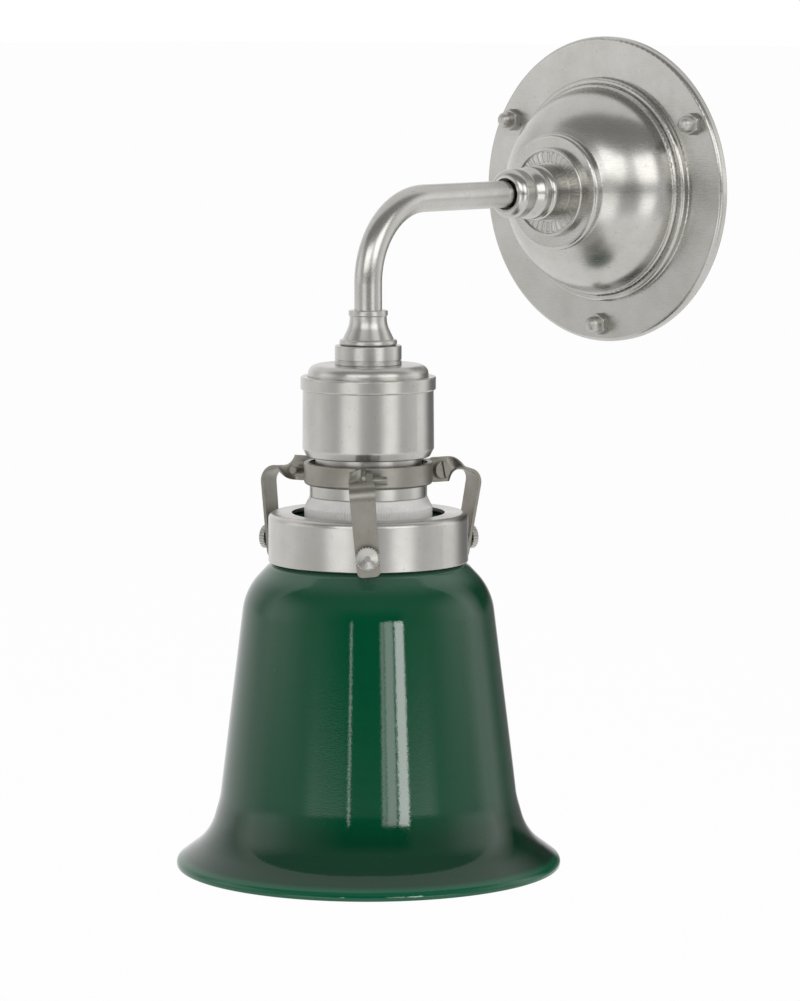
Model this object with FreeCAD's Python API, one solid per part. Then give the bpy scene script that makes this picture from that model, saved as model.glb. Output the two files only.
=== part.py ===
import FreeCAD, Part
import math
import os

# Gooseneck wall sconce, in millimetres.
# The wall is the plane y = 0 and the room is on its -Y side. The origin is the centre of the
# wall plate's back. The arm leaves the wall along -Y, bends over and hangs down along -Z.
# Two ways of giving a place are used below:
#   on the wall axis, (radius, depth), where depth is the distance from the wall;
#   on the lamp axis, (radius, drop), where drop is the distance below the arm's axis.

Vector = FreeCAD.Vector
UP = Vector(0, 0, 1)
ALONG_X = Vector(1, 0, 0)
ALONG_Y = Vector(0, 1, 0)
ORIGIN = Vector(0, 0, 0)

# ---- fits ----------------------------------------------------------------------------------------
running_gap = 0.05        # radial play of a part that slides in its hole
slip_gap = 0.10           # radial play of a part that is only passed through
hole_gap = 0.20           # radial play of a fixing in a clearance hole
seat_gap = 0.50           # air left between the glass and the metal round it

# ---- arm -----------------------------------------------------------------------------------------
arm_reach = 127.0         # wall to lamp axis
tube_radius = 4.75
tube_wall = 1.0
bend_radius = 28.0
flex_radius = 2.5         # sheathed flex inside the arm
core_radius = 0.8         # one insulated core
thread_radius = 1.5       # M3 screws, studs and nuts
flex_end = 3.0            # of the flex past the nipple, and of its cores past the flex
core_bend = 2.0

# ---- wall rose -----------------------------------------------------------------------------------
rose_radius = 54.8
rose_sheet = 1.0
rose_lift = 3.2           # depth of the flat flange's front
rose_edge_round = 1.4
rose_side_gap = 0.8       # from the inner bead back to the dome's side
bead_radius = 40.1        # outer one of the two beads
bead_width = 2.3
bead_rise = 3.0           # above the flange
bead_step = 0.6           # from the outer bead down to the groove
bead_round = 1.1
step_radius = 37.8        # inner bead
step_rise = 4.6
step_width = 1.1
step_round = 0.7
dome_shoulder_radius = 34.3
dome_shoulder_depth = 21.5
dome_round = 23.5
cap_radius = 20.7
cap_side_depth = 27.6     # where the dome meets the raised centre
cap_depth = 31.0          # front face of the raised centre
cap_round = 1.3

# ---- wall plate behind the rose ------------------------------------------------------------------
plate_radius = 52.0
plate_thickness = 2.0
stud_circle_radius = 48.5
stud_angles = (30.0, 150.0, 270.0)
wall_hole_spacing = 60.0
wall_hole_radius = 2.5
cable_entry_radius = 9.0
cap_nut_flats = 6.8
cap_nut_hex_height = 2.6
cap_nut_height = 7.2
cap_nut_dome_radius = 2.85

# ---- turned boss that holds the arm on the rose --------------------------------------------------
boss_disc_radius = 15.8
boss_disc_height = 2.5
boss_rim_width = 1.2
boss_recess = 0.7
boss_length = 25.1        # from the rose to the tip of the collar
boss_bead_radius = 9.8
boss_bead_top = 10.2      # above the rose, as the next three are
boss_groove_top = 10.8
boss_bell_bend = 13.6
boss_waist_start = 16.4
boss_bead_round = 1.8
boss_groove_radius = 9.0
boss_bell_radius = 9.3
boss_bell_round = 4.0
boss_waist_radius = 7.6
boss_waist_length = 0.9
collar_radius = 8.6
collar_length = 6.8
collar_round = 2.9        # of its front edge
collar_back_round = 1.2
collar_mouth_radius = 5.6
tube_seat_depth = 37.5    # where the arm tube starts inside the boss
nipple_radius = 4.0
nipple_wall = 0.9
nipple_back_depth = 21.5
washer_radius = 8.5
washer_thickness = 1.0
lock_nut_flats = 13.0
lock_nut_height = 3.5

# ---- terminals behind the rose -------------------------------------------------------------------
block_length = 24.0
block_height = 16.0
block_depth = 11.0
block_centre_z = -23.0
block_groove = 1.2        # between the poles, and two of these deep
pole_pitch = 8.0
pole_radius = 2.4
pole_wall = 0.9
terminal_screw_radius = 1.6
terminal_screw_height = 3.0

# ---- ferrule and ring on the arm's end --------------------------------------------------------
ferrule_top = 37.05       # drop
ferrule_collar_radius = 6.7
ferrule_collar_height = 1.9
ferrule_neck_radius = 5.75
ferrule_waist_radius = 6.2
ferrule_waist_height = 6.6    # from its top to where it starts to flare
ferrule_flare_radius = 9.1
ferrule_flare_round = 6.0
ferrule_bead_radius = 9.85
ferrule_bead_height = 2.0
ferrule_bead_round = 0.8
ferrule_height = 11.9
ring_radius = 11.4
ring_height = 6.6
ring_groove_place = 1.3   # above its foot
ring_groove_depth = 0.35
ring_groove_width = 0.5

# ---- lampholder ----------------------------------------------------------------------------------
holder_sheet = 1.1
cap_crown_radius = 20.6
cap_crown_round = 3.2
cap_skirt_height = 10.2
rim_setback = 4.0         # crown above the rim
rim_radius = 23.1
rim_height = 4.4
rim_round = 0.6
cup_top_radius = 22.35
cup_bottom_radius = 22.5
cup_height = 24.6         # rim's top to the start of the bottom chamfer
cup_chamfer_radius = 21.0
cup_chamfer_height = 2.8
neck_radius = 18.1
neck_height = 3.4         # under the cup, mostly behind the clamp band's top edge
sleeve_radius = 20.1
sleeve_sheet = 1.0
sleeve_flange = 1.4       # width of its flange inside the cup
sleeve_height = 13.6      # under the cup
slit_width = 1.0
slit_heading = 74.0       # from the front clip
entry_nut_flats = 14.0
entry_nut_height = 3.0
tube_tail = 1.2           # of the arm tube, under the entry nut

porcelain_cone_height = 3.6
porcelain_radius = 21.9
porcelain_height = 18.7   # under the sleeve
porcelain_bore_radius = 15.2
porcelain_spigot = 4.9

insulator_flange_height = 4.0
insulator_below_crown = 13.7
shell_radius = 13.5       # bore of the screw shell, for a 27 mm lamp cap
shell_wall = 0.4
shell_below_insulator = 14.0  # its roof, from the insulator's top
shell_length = 27.5
shell_crown_radius = 10.5 # outside of its narrow top, round the centre contact
shell_crown_height = 6.5
shell_hole_gap = 2.0      # in its roof, round the contact barrel
shell_lip = 0.5           # its turned-out foot
shell_lip_height = 1.0
barrel_wall = 1.0
barrel_lip = 1.0
plunger_radius = 3.0
plunger_tip_radius = 2.2
plunger_below_insulator = 9.5
plunger_body_length = 5.8
plunger_length = 10.0
plunger_travel = 1.5
spring_room = 2.0         # over the plunger at the top of its travel
pillar_size = 5.0
pillar_offset = 10.0      # from the lamp axis
link_width = 3.0
link_thickness = 0.8
stem_radius = 1.5
pillar_screw_radius = 1.2
pillar_screw_stand = 1.2  # of its head above the pillar
pillar_slot = 0.5

# ---- clamp band on the sleeve, in three arcs -----------------------------------------------------
clip_count = 3
front_heading = -47.65    # direction of the front clip, from +X towards +Y
band_below_cup = 2.0
band_height = 7.5
band_thickness = 1.8
ear_thickness = 1.2
ear_reach = 29.4          # the ears end and the strap starts its twist
ear_offset = -2.5         # ears and strap lie beside the radial plane
clamp_screw_radius_out = 26.2
clamp_screw_head_radius = 3.1
clamp_screw_head_height = 2.0
clamp_screw_tail = 5.0
clamp_nut_flats = 5.5
clamp_nut_height = 2.4
slot_width = 0.8
slot_depth = 0.9
slot_tilts = (35.0, 12.0, -50.0)
screw_chamfer = 0.4

# ---- straps from the band to the gallery ---------------------------------------------------------
strap_width = 8.6
strap_end_width = 7.8
strap_thickness = 1.1
strap_root = 21.8         # radius where the strap starts between the ears
strap_root_round = 2.5
twist_length = 6.8
strap_bend = 4.8
strap_lean = 8.0          # of the leg, towards the gallery
strap_offset = -2.0       # of the leg's top from the radial plane; the leg leans back to the screw
strap_end_below_screw = 6.0
twist_steps = 6

# ---- gallery -------------------------------------------------------------------------------------
gallery_below_sleeve = 5.65
gallery_radius = 34.2
gallery_height = 16.8
gallery_wall = 1.5
gallery_top_sheet = 1.2
gallery_hole_radius = 26.2
gallery_round = 2.0
thumb_below_gallery_top = 10.9
thumb_head_radius = 4.1
thumb_head_height = 2.0
thumb_head_inside = 39.7  # radius of the head's back face
thumb_dish = 0.5
thumb_hub_radius = 1.0
thumb_rim_width = 0.6
thumb_point = 0.5
knurl_count = 24
knurl_depth = 0.35

# ---- glass shade ---------------------------------------------------------------------------------
glass_wall = 3.0
glass_neck_radius = 29.3
glass_lip_radius = 31.4
glass_lip_height = 3.0
glass_lip_gap = 1.0       # under the gallery's top
glass_neck_end = 2.0      # above the skirt's foot, where the neck opens into the shoulder
glass_shoulder_radius = 34.6
glass_shoulder_gap = 1.6  # under the gallery's skirt
glass_shoulder_round = 6.0
glass_body_radius = 42.3
glass_body_below = 26.5   # under the gallery's top, as the next two are
glass_body_round = 21.0
glass_flare_radius = 52.35
glass_flare_below = 108.3
glass_flare_round = 22.0
glass_mouth_radius = 66.9
glass_mouth_below = 121.2
glass_edge_round = 1.4

# ---- sizes that follow ---------------------------------------------------------------------------
boss_tip = cap_depth + boss_length
flex_back_depth = nipple_back_depth - flex_end
ferrule_bottom = ferrule_top + ferrule_height
crown_top = ferrule_bottom + ring_height
rim_top = crown_top + rim_setback
cup_bottom = rim_top + cup_height + cup_chamfer_height
sleeve_bottom = cup_bottom + sleeve_height
insulator_top = crown_top + insulator_below_crown
shell_top = insulator_top + shell_below_insulator
plunger_top = insulator_top + plunger_below_insulator
plunger_tip_drop = plunger_top + plunger_length
barrel_roof = plunger_top - plunger_travel - spring_room
band_top = cup_bottom + band_below_cup
gallery_top = sleeve_bottom + gallery_below_sleeve
thumb_drop = gallery_top + thumb_below_gallery_top
glass_body_drop = gallery_top + glass_body_below
glass_flare_drop = gallery_top + glass_flare_below
glass_mouth_drop = gallery_top + glass_mouth_below
entry_nut_top = crown_top + holder_sheet
tube_bottom = entry_nut_top + entry_nut_height + tube_tail
band_inner_radius = sleeve_radius + slip_gap
band_outer_radius = band_inner_radius + band_thickness
band_middle = band_top + band_height / 2
strap_sideways = math.degrees(math.atan2(-strap_offset, thumb_drop - band_middle))
gallery_bottom = gallery_top + gallery_height
clip_headings = [front_heading + 360.0 / clip_count * i for i in range(clip_count)]
clip_names = ("front", "right", "left")
plug_drop = plunger_top + plunger_body_length


# ---- drawing helpers -----------------------------------------------------------------------------
def unit(u, v):
    length = math.hypot(u, v)
    return u / length, v / length


def outline(corners):
    """A closed wire in the XZ plane through (x, z, fillet) corners; the fillet may be left out."""
    points = [(c[0], c[1], c[2] if len(c) > 2 else 0.0) for c in corners]
    edges = []
    ends = []
    for i, (u, v, fillet) in enumerate(points):
        before = points[i - 1]
        after = points[(i + 1) % len(points)]
        back = unit(before[0] - u, before[1] - v)
        ahead = unit(after[0] - u, after[1] - v)
        cosine = back[0] * ahead[0] + back[1] * ahead[1]
        half = math.acos(max(-1.0, min(1.0, cosine))) / 2
        if fillet <= 0 or half > math.radians(89.9):
            ends.append((Vector(u, 0, v), None, Vector(u, 0, v)))
            continue
        reach = fillet / math.tan(half)
        first = Vector(u + back[0] * reach, 0, v + back[1] * reach)
        last = Vector(u + ahead[0] * reach, 0, v + ahead[1] * reach)
        middle = unit(back[0] + ahead[0], back[1] + ahead[1])
        out = fillet / math.sin(half) - fillet
        ends.append((first, Vector(u + middle[0] * out, 0, v + middle[1] * out), last))
    for i, (first, middle, last) in enumerate(ends):
        start = ends[i - 1][2]
        if start.distanceToPoint(first) > 1e-6:
            edges.append(Part.LineSegment(start, first).toShape())
        if middle is not None:
            edges.append(Part.Arc(first, middle, last).toShape())
    return Part.Wire(edges)


def offset_path(corners, thickness):
    """The open path moved sideways by thickness, to its left; fillets keep their centres."""
    moved = []
    count = len(corners)
    runs = [unit(corners[i + 1][0] - corners[i][0], corners[i + 1][1] - corners[i][1])
            for i in range(count - 1)]
    for i, corner in enumerate(corners):
        fillet = corner[2] if len(corner) > 2 else 0.0
        into = runs[max(i - 1, 0)]
        out = runs[min(i, count - 2)]
        left_in = (-into[1], into[0])
        left_out = (-out[1], out[0])
        share = thickness / (1 + left_in[0] * left_out[0] + left_in[1] * left_out[1])
        turn = into[0] * out[1] - into[1] * out[0]
        if fillet > 0:
            fillet = max(fillet - math.copysign(thickness, turn), 0.0)
        moved.append((corner[0] + (left_in[0] + left_out[0]) * share,
                      corner[1] + (left_in[1] + left_out[1]) * share, fillet))
    return moved


def turned(corners):
    """A solid turned about +Z from (radius, height, fillet) corners."""
    return Part.Face(outline(corners)).revolve(ORIGIN, UP, 360)


def on_wall_axis(corners):
    """Turned about the wall axis from (radius, depth, fillet) corners."""
    solid = turned(corners)
    solid.rotate(ORIGIN, ALONG_X, 90)
    return solid


def on_lamp_axis(corners):
    """Turned about the lamp axis from (radius, drop, fillet) corners."""
    solid = turned([(c[0], -c[1]) + tuple(c[2:]) for c in corners])
    solid.translate(Vector(0, -arm_reach, 0))
    return solid


def cylinder(radius, length, start, direction):
    return Part.makeCylinder(radius, length, start, direction)


def hexagon(flats, height, bore):
    """A nut standing on z = 0, its corners turned off at both ends."""
    corner = flats / math.sqrt(3)
    points = [Vector(corner * math.cos(math.radians(60 * i)),
                     corner * math.sin(math.radians(60 * i)), 0) for i in range(7)]
    prism = Part.Face(Part.makePolygon(points)).extrude(Vector(0, 0, height))
    bevel = (corner - flats / 2) * 0.8
    barrel = turned([(0, 0), (corner - bevel, 0), (corner, bevel), (corner, height - bevel),
                     (corner - bevel, height), (0, height)])
    return prism.common(barrel).cut(cylinder(bore, height, ORIGIN, UP))


def rounded_path(points, radius):
    """A wire of straight runs through the points, with a tangent arc at each inner point."""
    edges = []
    start = points[0]
    for before, here, after in zip(points, points[1:], points[2:]):
        back = (before - here).normalize()
        ahead = (after - here).normalize()
        half = back.getAngle(ahead) / 2
        reach = radius / math.tan(half)
        first = here + back * reach
        last = here + ahead * reach
        middle = here + (back + ahead).normalize() * (radius / math.sin(half) - radius)
        if start.distanceToPoint(first) > 1e-6:
            edges.append(Part.LineSegment(start, first).toShape())
        edges.append(Part.Arc(first, middle, last).toShape())
        start = last
    edges.append(Part.LineSegment(start, points[-1]).toShape())
    return Part.Wire(edges)


def rod(points, bend, radius):
    """A round bar along the rounded path."""
    path = rounded_path(points, bend)
    circle = Part.Wire(Part.makeCircle(radius, points[0], points[1] - points[0]))
    return path.makePipeShell([circle], True, False)


def at_clip(solid, index):
    """From a clip's own frame, where x runs outwards and z up, to its place on the lamp."""
    placed = solid.copy()
    placed.rotate(ORIGIN, UP, clip_headings[index])
    placed.translate(Vector(0, -arm_reach, 0))
    return placed


def around_wall_axis(solid, angle):
    """From beside the wall axis at +X to another angle round it."""
    placed = solid.copy()
    placed.rotate(ORIGIN, ALONG_Y, -angle)
    return placed


def box(x0, x1, y0, y1, z0, z1):
    return Part.makeBox(x1 - x0, y1 - y0, z1 - z0, Vector(x0, y0, z0))


# ---- wall side -----------------------------------------------------------------------------------
def wall_plate():
    plate = on_wall_axis([(cable_entry_radius, 0), (plate_radius, 0, 0.4),
                          (plate_radius, plate_thickness, 0.4),
                          (cable_entry_radius, plate_thickness)])
    holes = []
    for side in (-1, 1):
        holes.append(cylinder(wall_hole_radius, plate_thickness,
                              Vector(side * wall_hole_spacing / 2, 0, 0), -ALONG_Y))
    stud = cylinder(thread_radius, plate_thickness, Vector(stud_circle_radius, 0, 0), -ALONG_Y)
    holes += [around_wall_axis(stud, angle) for angle in stud_angles]
    return plate.cut(holes)


def plate_studs():
    length = rose_lift + cap_nut_height - cap_nut_dome_radius
    stud = cylinder(thread_radius, length, Vector(stud_circle_radius, 0, 0), -ALONG_Y)
    return [around_wall_axis(stud, angle) for angle in stud_angles]


def wall_rose():
    groove = rose_lift + bead_rise - bead_step
    skin = [(rose_radius, 0), (rose_radius, rose_lift, rose_edge_round),
            (bead_radius, rose_lift, 0.3),
            (bead_radius, rose_lift + bead_rise, bead_round),
            (bead_radius - bead_width, rose_lift + bead_rise, bead_round / 2),
            (bead_radius - bead_width, groove),
            (step_radius, groove),
            (step_radius, rose_lift + step_rise, step_round),
            (step_radius - step_width, rose_lift + step_rise, 0.2),
            (dome_shoulder_radius, dome_shoulder_depth, dome_round),
            (cap_radius, cap_side_depth, 0.4),
            (cap_radius, cap_depth, cap_round),
            (nipple_radius + slip_gap, cap_depth)]
    plain = [(rose_radius, 0), (rose_radius, rose_lift, rose_edge_round),
             (step_radius - rose_side_gap, rose_lift, 0.5),
             (step_radius - step_width, rose_lift + step_rise),
             (dome_shoulder_radius, dome_shoulder_depth, dome_round),
             (cap_radius, cap_side_depth, 0.4),
             (cap_radius, cap_depth, cap_round),
             (nipple_radius + slip_gap, cap_depth)]
    inside = offset_path(plain, rose_sheet)
    rose = on_wall_axis(skin + inside[::-1])
    hole = cylinder(thread_radius + hole_gap, rose_lift * 2,
                    Vector(stud_circle_radius, 0, 0), -ALONG_Y)
    return rose.cut([around_wall_axis(hole, angle) for angle in stud_angles])


def cap_nuts():
    hexagonal = hexagon(cap_nut_flats, cap_nut_hex_height, thread_radius)
    shaft = cap_nut_height - cap_nut_dome_radius
    dome = turned([(thread_radius, cap_nut_hex_height), (cap_nut_dome_radius, cap_nut_hex_height),
                   (cap_nut_dome_radius, cap_nut_height, cap_nut_dome_radius * 0.96),
                   (0, cap_nut_height), (0, shaft), (thread_radius, shaft)])
    nut = hexagonal.fuse(dome).removeSplitter()
    nut.rotate(ORIGIN, ALONG_X, 90)
    nut.translate(Vector(stud_circle_radius, -rose_lift, 0))
    return [around_wall_axis(nut, angle) for angle in stud_angles]


def arm_boss():
    """Disc with a raised rim, a bead, a bell and a round collar with the tube's mouth in it."""
    disc = cap_depth + boss_disc_height
    bead = cap_depth + boss_bead_top
    groove = cap_depth + boss_groove_top
    waist = cap_depth + boss_waist_start
    collar = boss_tip - collar_length
    rim_bore = boss_disc_radius - boss_rim_width
    seat = tube_radius + running_gap
    return on_wall_axis([
        (nipple_radius, cap_depth), (boss_disc_radius, cap_depth), (boss_disc_radius, disc, 0.5),
        (rim_bore, disc, 0.2), (rim_bore, disc - boss_recess),
        (boss_bead_radius, disc - boss_recess), (boss_bead_radius, bead, boss_bead_round),
        (boss_groove_radius, bead), (boss_groove_radius, groove),
        (boss_bell_radius, groove, 0.3),
        (boss_bell_radius, cap_depth + boss_bell_bend, boss_bell_round),
        (boss_waist_radius, waist, 0.8), (boss_waist_radius, waist + boss_waist_length),
        (collar_radius, collar, collar_back_round), (collar_radius, boss_tip, collar_round),
        (collar_mouth_radius, boss_tip, 0.05), (collar_mouth_radius, collar), (seat, collar),
        (seat, tube_seat_depth), (nipple_radius, tube_seat_depth)])


def arm_nipple():
    bore = nipple_radius - nipple_wall
    front = tube_seat_depth - running_gap
    return on_wall_axis([(bore, nipple_back_depth), (nipple_radius, nipple_back_depth, 0.3),
                         (nipple_radius, front), (bore, front)])


def lock_washer():
    front = cap_depth - rose_sheet
    back = front - washer_thickness
    bore = nipple_radius + slip_gap
    return on_wall_axis([(bore, back), (washer_radius, back), (washer_radius, front), (bore, front)])


def lock_nut():
    nut = hexagon(lock_nut_flats, lock_nut_height, nipple_radius)
    nut.rotate(ORIGIN, ALONG_X, 90)
    back = cap_depth - rose_sheet - washer_thickness - lock_nut_height
    nut.translate(Vector(0, -back, 0))
    return nut


def pole_places():
    return [(i - 1) * pole_pitch for i in range(3)]


def terminal_block():
    """Insulating block with three bores from top to bottom and two screw wells over each."""
    front = plate_thickness + block_depth
    low = block_centre_z - block_height / 2
    high = block_centre_z + block_height / 2
    body = box(-block_length / 2, block_length / 2, -front, -plate_thickness, low, high)
    middle = -(plate_thickness + block_depth / 2)
    cuts = []
    for x in pole_places():
        cuts.append(cylinder(pole_radius, block_height, Vector(x, middle, low), UP))
        for z in screw_heights():
            cuts.append(cylinder(terminal_screw_radius + hole_gap, block_depth / 2,
                                 Vector(x, -front, z), ALONG_Y))
    for x in pole_places()[:-1]:
        cuts.append(box(x + pole_pitch / 2 - block_groove / 2, x + pole_pitch / 2 + block_groove / 2,
                        -front, block_groove * 2 - front, low, high))
    return body.cut(cuts)


def screw_heights():
    return [block_centre_z + side * block_height / 4 for side in (-1, 1)]


def terminal_poles():
    """Brass tubes in the block, each with two tapped holes for its screws."""
    middle = -(plate_thickness + block_depth / 2)
    low = block_centre_z - block_height / 2
    poles = []
    for x in pole_places():
        tube = cylinder(pole_radius, block_height, Vector(x, middle, low), UP)
        tube = tube.cut(cylinder(pole_radius - pole_wall, block_height, Vector(x, middle, low), UP))
        for z in screw_heights():
            tube = tube.cut(cylinder(terminal_screw_radius, pole_radius,
                                     Vector(x, middle - pole_radius, z), ALONG_Y))
        poles.append(tube)
    return poles


def terminal_screws():
    middle = -(plate_thickness + block_depth / 2)
    tip = middle - core_radius
    screws = []
    for x in pole_places():
        for z in screw_heights():
            start = Vector(x, tip - terminal_screw_height, z)
            screw = cylinder(terminal_screw_radius, terminal_screw_height, start, ALONG_Y)
            slot = box(x - terminal_screw_radius, x + terminal_screw_radius, start.y,
                       start.y + slot_depth, z - slot_width / 2, z + slot_width / 2)
            screws.append(screw.cut(slot))
    return screws


def rose_cores():
    """Three cores from the flex's end behind the nipple down into the terminal block."""
    pole_depth = plate_thickness + block_depth / 2
    top = block_centre_z + block_height / 2
    cores = []
    for i, x in enumerate(pole_places()):
        near = (i - 1) * core_radius * 2
        cores.append(rod([Vector(near, -flex_back_depth, 0),
                          Vector(near, flex_end - flex_back_depth, 0),
                          Vector(x, -pole_depth, top / 2), Vector(x, -pole_depth, top - flex_end)],
                         core_bend, core_radius - running_gap))
    return cores


# ---- arm -----------------------------------------------------------------------------------------
def arm_path(back_depth, drop):
    return [Vector(0, -back_depth, 0), Vector(0, -arm_reach, 0), Vector(0, -arm_reach, -drop)]


def arm_tube():
    path = arm_path(tube_seat_depth, tube_bottom)
    outside = rod(path, bend_radius, tube_radius)
    return outside.cut(rod(path, bend_radius, tube_radius - tube_wall))


def arm_flex():
    return rod(arm_path(flex_back_depth, tube_bottom + core_radius), bend_radius, flex_radius)


# ---- ferrule and lampholder ----------------------------------------------------------------------
def tube_ferrule():
    """A small collar, a neck that flares out and a bead at its foot."""
    bore = tube_radius + running_gap
    collar = ferrule_top + ferrule_collar_height
    bead = ferrule_bottom - ferrule_bead_height
    return on_lamp_axis([
        (bore, ferrule_top), (ferrule_collar_radius, ferrule_top, 0.4),
        (ferrule_collar_radius, collar, 0.4), (ferrule_neck_radius, collar),
        (ferrule_waist_radius, ferrule_top + ferrule_waist_height, ferrule_flare_round),
        (ferrule_flare_radius, bead), (ferrule_bead_radius, bead, ferrule_bead_round),
        (ferrule_bead_radius, ferrule_bottom, ferrule_bead_round), (bore, ferrule_bottom)])


def ferrule_ring():
    groove = crown_top - ring_groove_place
    inner = ring_radius - ring_groove_depth
    return on_lamp_axis([
        (tube_radius, ferrule_bottom), (ring_radius, ferrule_bottom, 0.5),
        (ring_radius, groove - ring_groove_width), (inner, groove - ring_groove_width),
        (inner, groove), (ring_radius, groove), (ring_radius, crown_top, 0.2),
        (tube_radius, crown_top)])


def holder_cap():
    bore = tube_radius + slip_gap
    skin = [(bore, crown_top), (cap_crown_radius, crown_top, cap_crown_round),
            (cap_crown_radius, crown_top + cap_skirt_height)]
    inside = offset_path(skin, holder_sheet)
    return on_lamp_axis(skin + inside[::-1])


def entry_nut():
    nut = hexagon(entry_nut_flats, entry_nut_height, tube_radius)
    nut.translate(Vector(0, -arm_reach, -entry_nut_top - entry_nut_height))
    return nut


def holder_body():
    """The cup: a rolled rim round the cap's skirt, a nearly straight wall and a turned-in foot."""
    rim_bottom = rim_top + rim_height
    chamfer = cup_bottom - cup_chamfer_height
    rim_bore = cap_crown_radius + slip_gap
    bore = neck_radius + slip_gap
    return on_lamp_axis([
        (rim_bore, rim_top), (rim_radius, rim_top, rim_round), (rim_radius, rim_bottom, rim_round),
        (cup_top_radius, rim_bottom + 0.3), (cup_bottom_radius, chamfer, 1.2),
        (cup_chamfer_radius, cup_bottom, 0.8), (bore, cup_bottom),
        (bore, cup_bottom - holder_sheet),
        (cup_chamfer_radius - holder_sheet, cup_bottom - holder_sheet),
        (cup_bottom_radius - holder_sheet, chamfer - 0.5),
        (cup_top_radius - holder_sheet, rim_bottom + 0.6), (rim_bore, rim_bottom + 0.2)])


def holder_sleeve():
    """Lamp sleeve: a flange inside the cup, a narrow neck and a wider mouth with a long slit."""
    flange_top = cup_bottom - holder_sheet * 2
    flange_bottom = cup_bottom - holder_sheet
    step = cup_bottom + neck_height
    bore = neck_radius - sleeve_sheet
    mouth = sleeve_radius - sleeve_sheet
    flange = neck_radius + sleeve_flange
    slope = sleeve_sheet / 2
    sleeve = on_lamp_axis([
        (bore, flange_top), (flange, flange_top), (flange, flange_bottom),
        (neck_radius, flange_bottom), (neck_radius, step, 0.4), (sleeve_radius, step + slope, 0.6),
        (sleeve_radius, sleeve_bottom, 0.3), (mouth, sleeve_bottom),
        (mouth, step + sleeve_sheet + slope), (bore, step + sleeve_sheet)])
    slit = box(bore - sleeve_sheet, sleeve_radius + sleeve_sheet, -slit_width / 2, slit_width / 2,
               -sleeve_bottom, -cup_bottom)
    slit.rotate(ORIGIN, UP, front_heading + slit_heading)
    slit.translate(Vector(0, -arm_reach, 0))
    return sleeve.cut(slit)


def porcelain_ring():
    """Skirt of the lampholder: its spigot is inside the sleeve, its foot inside the gallery."""
    spigot_radius = sleeve_radius - sleeve_sheet - slip_gap
    bottom = sleeve_bottom + porcelain_height
    return on_lamp_axis([
        (porcelain_bore_radius, sleeve_bottom - porcelain_spigot, 0.5),
        (spigot_radius, sleeve_bottom - porcelain_spigot, 0.5), (spigot_radius, sleeve_bottom),
        (sleeve_radius + slip_gap, sleeve_bottom, 0.4),
        (porcelain_radius, sleeve_bottom + porcelain_cone_height, 1.0),
        (porcelain_radius, bottom, 1.6), (porcelain_bore_radius, bottom, 1.2)])


def holder_insulator():
    """Porcelain core: a flange under the cap, a bore for the contact and one for the screw shell."""
    outer = neck_radius - holder_sheet
    flange = cup_top_radius - holder_sheet - seat_gap
    bottom = sleeve_bottom - porcelain_spigot
    shell_bore = shell_radius + shell_wall + slip_gap
    bore = plunger_radius + running_gap + barrel_wall
    body = on_lamp_axis([
        (bore, insulator_top), (flange, insulator_top, 0.6),
        (flange, insulator_top + insulator_flange_height, 0.6),
        (outer, insulator_top + insulator_flange_height), (outer, bottom), (shell_bore, bottom),
        (shell_bore, shell_top + shell_crown_height - seat_gap),
        (shell_crown_radius + slip_gap, shell_top + shell_crown_height - seat_gap),
        (shell_crown_radius + slip_gap, shell_top), (bore, shell_top)])
    leg = box(pillar_offset - link_width / 2, pillar_offset + link_width / 2,
              -arm_reach - link_thickness, -arm_reach + link_thickness,
              -shell_top, -insulator_top)
    return body.cut(leg)


def screw_shell():
    outer = shell_radius + shell_wall
    hole = plunger_radius + barrel_wall + shell_hole_gap
    bottom = shell_top + shell_length
    step = shell_top + shell_crown_height
    skin = [(hole, shell_top), (shell_crown_radius, shell_top, 0.8),
            (shell_crown_radius, step, 0.5), (outer, step, 0.8), (outer, bottom - shell_lip_height),
            (outer + shell_lip, bottom)]
    return on_lamp_axis(skin + offset_path(skin, shell_wall)[::-1])


def contact_barrel():
    """Fixed barrel: closed on top, with a lip at its mouth that keeps the plunger in."""
    bore = plunger_radius + running_gap
    outer = bore + barrel_wall
    mouth = plunger_tip_radius + running_gap
    lip = plug_drop + hole_gap
    top = barrel_roof - barrel_wall
    return on_lamp_axis([
        (0, top), (outer, top), (outer, lip + barrel_lip), (mouth, lip + barrel_lip), (mouth, lip),
        (bore, lip), (bore, barrel_roof), (0, barrel_roof)])


def centre_contact():
    tip = plunger_tip_radius
    return on_lamp_axis([
        (0, plunger_top), (plunger_radius, plunger_top, 0.3), (plunger_radius, plug_drop, 0.3),
        (tip, plug_drop), (tip, plunger_tip_drop, tip * 0.9), (0, plunger_tip_drop)])


def pillar(side):
    """A terminal pillar on the insulator's top, bored for its core and tapped for its screw."""
    x = side * pillar_offset
    half = pillar_size / 2
    block = box(x - half, x + half, -arm_reach - half, -arm_reach + half,
                -insulator_top, -insulator_top + pillar_size)
    middle = -insulator_top + pillar_size / 2
    inner_end = Vector(x - side * half, -arm_reach, middle)
    bore = cylinder(core_radius, pillar_size * 0.8, inner_end, ALONG_X * side)
    tapped = cylinder(pillar_screw_radius, pillar_size / 2,
                      Vector(x, -arm_reach, middle), UP)
    return block.cut([bore, tapped])


def live_terminal():
    """Pillar with a strip across the insulator's top to the contact barrel."""
    roof = barrel_roof - barrel_wall
    bar = box(-pillar_offset, 0, -arm_reach - link_width / 2, -arm_reach + link_width / 2,
              -insulator_top, -insulator_top + link_thickness)
    stem = cylinder(stem_radius, roof - insulator_top, Vector(0, -arm_reach, -roof), UP)
    return pillar(-1).fuse([bar, stem]).removeSplitter()


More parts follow.
